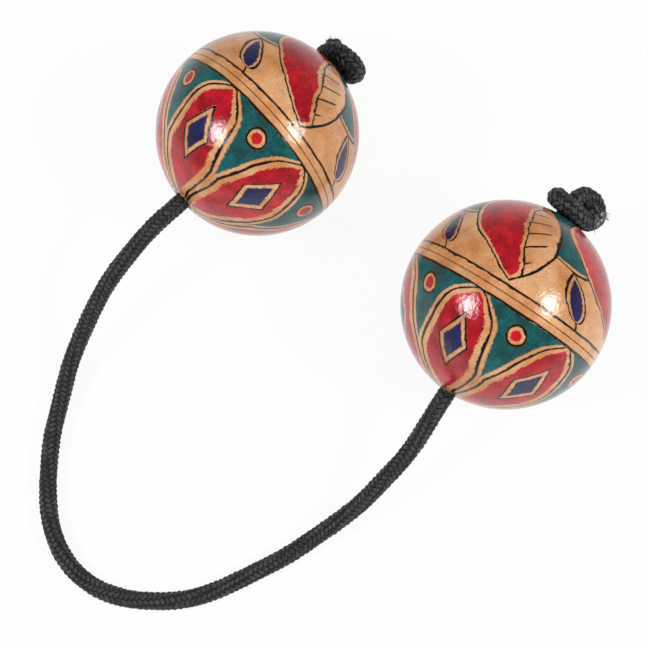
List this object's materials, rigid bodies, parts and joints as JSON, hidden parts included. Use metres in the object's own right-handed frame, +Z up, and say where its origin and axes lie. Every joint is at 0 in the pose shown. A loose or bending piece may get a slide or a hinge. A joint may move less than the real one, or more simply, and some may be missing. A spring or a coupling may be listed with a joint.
{
  "type": "asalato",
  "caption": "Hand percussion of hollow painted wooden balls with seeds inside, joined by a black braided cord that is knotted at each end, swung so that the balls rattle and clack.",
  "frame": {"origin": "on the table, midway between the two balls", "axes": "+Z up, +X from the left ball to the right ball, +Y to the side of the knots, with the cord loop on the -Y side"},
  "size_m": [0.1484, 0.1773, 0.06],
  "materials": {
    "painted_wood": "dyed in red, green and navy with burnt outlines, under gloss lacquer",
    "black_cord": "round braid of black nylon",
    "seed": "hard dried seed, smooth"
  },
  "bodies": {
    "cord": {"cord_loop": "black_cord", "left_cord_run": "black_cord", "left_knot": "black_cord"},
    "right_cord_end": {"right_cord_run": "black_cord", "right_knot": "black_cord"},
    "left_ball": {"left_ball_cord_half": "painted_wood", "left_ball_knot_half": "painted_wood"},
    "right_ball": {"right_ball_cord_half": "painted_wood", "right_ball_knot_half": "painted_wood"},
    "left_rattle": {"left_seed_1": "seed", "left_seed_2": "seed", "left_seed_3": "seed", "left_seed_4": "seed", "left_seed_5": "seed", "left_seed_6": "seed", "left_seed_7": "seed"},
    "right_rattle": {"right_seed_1": "seed", "right_seed_2": "seed", "right_seed_3": "seed", "right_seed_4": "seed", "right_seed_5": "seed", "right_seed_6": "seed", "right_seed_7": "seed"}
  },
  "joints": [
    {"name": "cord_bend", "type": "hinge", "parent": "cord", "child": "right_cord_end", "pos_m": [-0.01, -0.132, 0.0025], "axis": [0, 0, 1], "range_deg": [-140, 11.9], "deforming": ["cord_loop"]},
    {"name": "left_ball_spin", "type": "hinge", "parent": "cord", "child": "left_ball", "pos_m": [-0.04425, 0, 0.03], "axis": [0.1736, 0.9848, 0], "continuous": true},
    {"name": "right_ball_spin", "type": "hinge", "parent": "right_cord_end", "child": "right_ball", "pos_m": [0.04425, 0, 0.03], "axis": [-0.0341, 0.9776, 0.2079], "continuous": true},
    {"name": "left_rattle_roll", "type": "hinge", "parent": "left_ball", "child": "left_rattle", "pos_m": [-0.04425, 0, 0.03], "axis": [0.1736, 0.9848, 0], "continuous": true},
    {"name": "right_rattle_roll", "type": "hinge", "parent": "right_ball", "child": "right_rattle", "pos_m": [0.04425, 0, 0.03], "axis": [-0.0341, 0.9776, 0.2079], "continuous": true}
  ]
}
